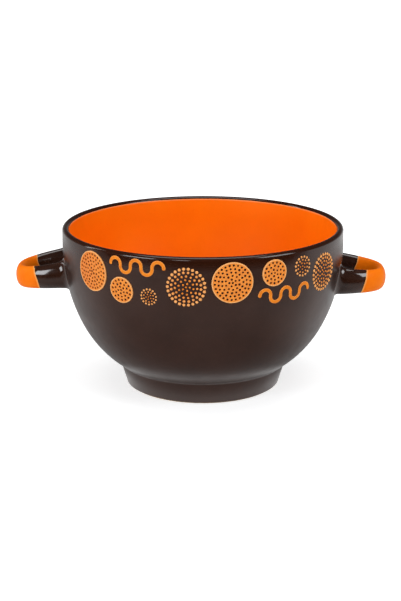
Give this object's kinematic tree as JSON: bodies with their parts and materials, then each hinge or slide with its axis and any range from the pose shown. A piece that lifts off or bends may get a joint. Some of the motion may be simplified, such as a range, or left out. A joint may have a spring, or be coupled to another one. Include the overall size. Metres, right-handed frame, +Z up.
{
  "type": "soup bowl",
  "caption": "Handled soup bowl of glazed stoneware: a deep round bowl on a flared foot, with looped strap handles and a raised band of discs, beads and waves.",
  "frame": {"origin": "on the bowl's axis, at the table that the foot stands on", "axes": "+Z up along the bowl's axis, +X towards the right handle, -Y towards the viewer of the front"},
  "size_m": [0.186, 0.141, 0.0814],
  "materials": {
    "clay": "matte",
    "lining_orange": "satin",
    "brown_matte": "satin",
    "brown_gloss": "gloss",
    "handle_orange": "gloss",
    "enamel_orange": "satin"
  },
  "bodies": {
    "root": {"bowl_body": "clay", "lining_glaze": "lining_orange", "outer_glaze": "brown_matte", "recess_glaze": "brown_matte", "left_handle": "clay", "left_root_glaze": "brown_gloss", "left_tip_glaze": "handle_orange", "right_handle": "clay", "right_root_glaze": "brown_gloss", "right_tip_glaze": "handle_orange", "front_large_discs": "enamel_orange", "front_medium_discs": "enamel_orange", "front_large_medallions": "enamel_orange", "front_medium_medallion": "enamel_orange", "front_small_medallion": "enamel_orange", "front_wave_ribbons": "enamel_orange", "back_large_discs": "enamel_orange", "back_medium_discs": "enamel_orange", "back_large_medallions": "enamel_orange", "back_medium_medallion": "enamel_orange", "back_small_medallion": "enamel_orange", "back_wave_ribbons": "enamel_orange"}
  },
  "joints": []
}
